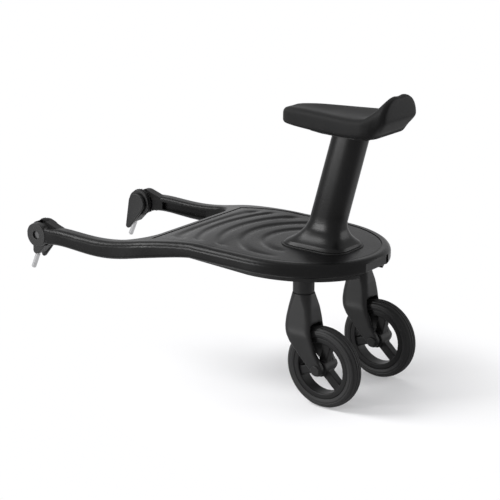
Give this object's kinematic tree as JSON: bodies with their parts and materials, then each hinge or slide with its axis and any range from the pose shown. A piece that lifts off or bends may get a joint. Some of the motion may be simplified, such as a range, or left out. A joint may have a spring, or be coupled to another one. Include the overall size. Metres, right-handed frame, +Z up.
{
  "type": "buggy board",
  "caption": "Ride-on buggy board: egg-shaped rippled deck with forward arms and pivoting pin couplings, saddle on a leaning post, trailing swivel casters.",
  "frame": {"origin": "on the floor under the middle of the overall length and width, with the board level as it is hooked to a stroller", "axes": "-X forwards along the arms, +X rearwards over the casters, +Y to the rider's right, +Z up"},
  "size_m": [0.6076, 0.2744, 0.4486],
  "materials": {
    "deck_plastic": "black moulding with a fine grain, satin on the bullnose rim",
    "panel_plastic": "black rippled panel with a fine grain",
    "cover_plastic": "black moulding, dull",
    "post_plastic": "black moulding, satin",
    "saddle_foam": "black skinned foam with a fine leather-like grain",
    "lever_plastic": "black moulding, satin",
    "caster_plastic": "black glass-filled moulding, dull",
    "wheel_plastic": "black glass-filled moulding, satin",
    "tyre_rubber": "black, ribbed tread",
    "bush_plastic": "off-white, smooth",
    "head_plastic": "black glass-filled moulding, dull",
    "ring_plastic": "dark grey moulding",
    "steel": "zinc-plated",
    "spring_steel": "bright drawn wire",
    "pin_steel": "bright turned steel"
  },
  "bodies": {
    "board": {"deck_shell": "deck_plastic", "grip_panel": "panel_plastic", "deck_cover": "cover_plastic", "cover_screws": "steel", "seat_socket": "cover_plastic", "seat_post": "post_plastic", "saddle_base": "post_plastic", "saddle_screws": "steel", "saddle_pad": "saddle_foam", "release_spring": "spring_steel", "caster_housing_left": "caster_plastic", "swivel_bush_left": "bush_plastic", "caster_housing_right": "caster_plastic", "swivel_bush_right": "bush_plastic"},
    "seat_release": {"seat_release_pull": "lever_plastic"},
    "caster_left": {"fork_left": "caster_plastic", "swivel_stem_left": "steel", "stem_clip_left": "spring_steel", "axle_left": "steel", "axle_caps_left": "caster_plastic"},
    "wheel_left": {"wheel_rim_left": "wheel_plastic", "tyre_left": "tyre_rubber", "wheel_bushes_left": "bush_plastic"},
    "head_left": {"coupling_head_left": "head_plastic", "ratchet_ring_left": "ring_plastic", "pivot_bolt_left": "steel", "coupling_pin_left": "pin_steel", "button_spring_left": "spring_steel"},
    "button_left": {"release_button_left": "lever_plastic"},
    "caster_right": {"fork_right": "caster_plastic", "swivel_stem_right": "steel", "stem_clip_right": "spring_steel", "axle_right": "steel", "axle_caps_right": "caster_plastic"},
    "wheel_right": {"wheel_rim_right": "wheel_plastic", "tyre_right": "tyre_rubber", "wheel_bushes_right": "bush_plastic"},
    "head_right": {"coupling_head_right": "head_plastic", "ratchet_ring_right": "ring_plastic", "pivot_bolt_right": "steel", "coupling_pin_right": "pin_steel", "button_spring_right": "spring_steel"},
    "button_right": {"release_button_right": "lever_plastic"}
  },
  "joints": [
    {"name": "caster_swivel_left", "type": "hinge", "parent": "board", "child": "caster_left", "pos_m": [0.1965, -0.073, 0.182], "axis": [0, 0, 1], "continuous": true},
    {"name": "wheel_spin_left", "type": "hinge", "parent": "caster_left", "child": "wheel_left", "pos_m": [0.2335, -0.073, 0.06], "axis": [0, 1, 0], "continuous": true},
    {"name": "head_pivot_left", "type": "hinge", "parent": "board", "child": "head_left", "pos_m": [-0.2715, -0.12, 0.179], "axis": [0, 1, 0], "range_deg": [-20, 80]},
    {"name": "button_press_left", "type": "slide", "parent": "head_left", "child": "button_left", "axis": [0, -1, 0], "range_m": [0, 0.002], "stiffness_N_per_m": 800, "springref_m": -0.002, "deforming": ["button_spring_left"]},
    {"name": "caster_swivel_right", "type": "hinge", "parent": "board", "child": "caster_right", "pos_m": [0.1965, 0.073, 0.182], "axis": [0, 0, 1], "continuous": true},
    {"name": "wheel_spin_right", "type": "hinge", "parent": "caster_right", "child": "wheel_right", "pos_m": [0.2335, 0.073, 0.06], "axis": [0, 1, 0], "continuous": true},
    {"name": "head_pivot_right", "type": "hinge", "parent": "board", "child": "head_right", "pos_m": [-0.2715, 0.12, 0.179], "axis": [0, 1, 0], "range_deg": [-20, 80]},
    {"name": "button_press_right", "type": "slide", "parent": "head_right", "child": "button_right", "axis": [0, 1, 0], "range_m": [0, 0.002], "stiffness_N_per_m": 800, "springref_m": -0.002, "deforming": ["button_spring_right"]},
    {"name": "seat_release_slide", "type": "slide", "parent": "board", "child": "seat_release", "axis": [1, 0, 0], "range_m": [0, 0.006], "stiffness_N_per_m": 500, "springref_m": -0.004, "deforming": ["release_spring"]}
  ]
}
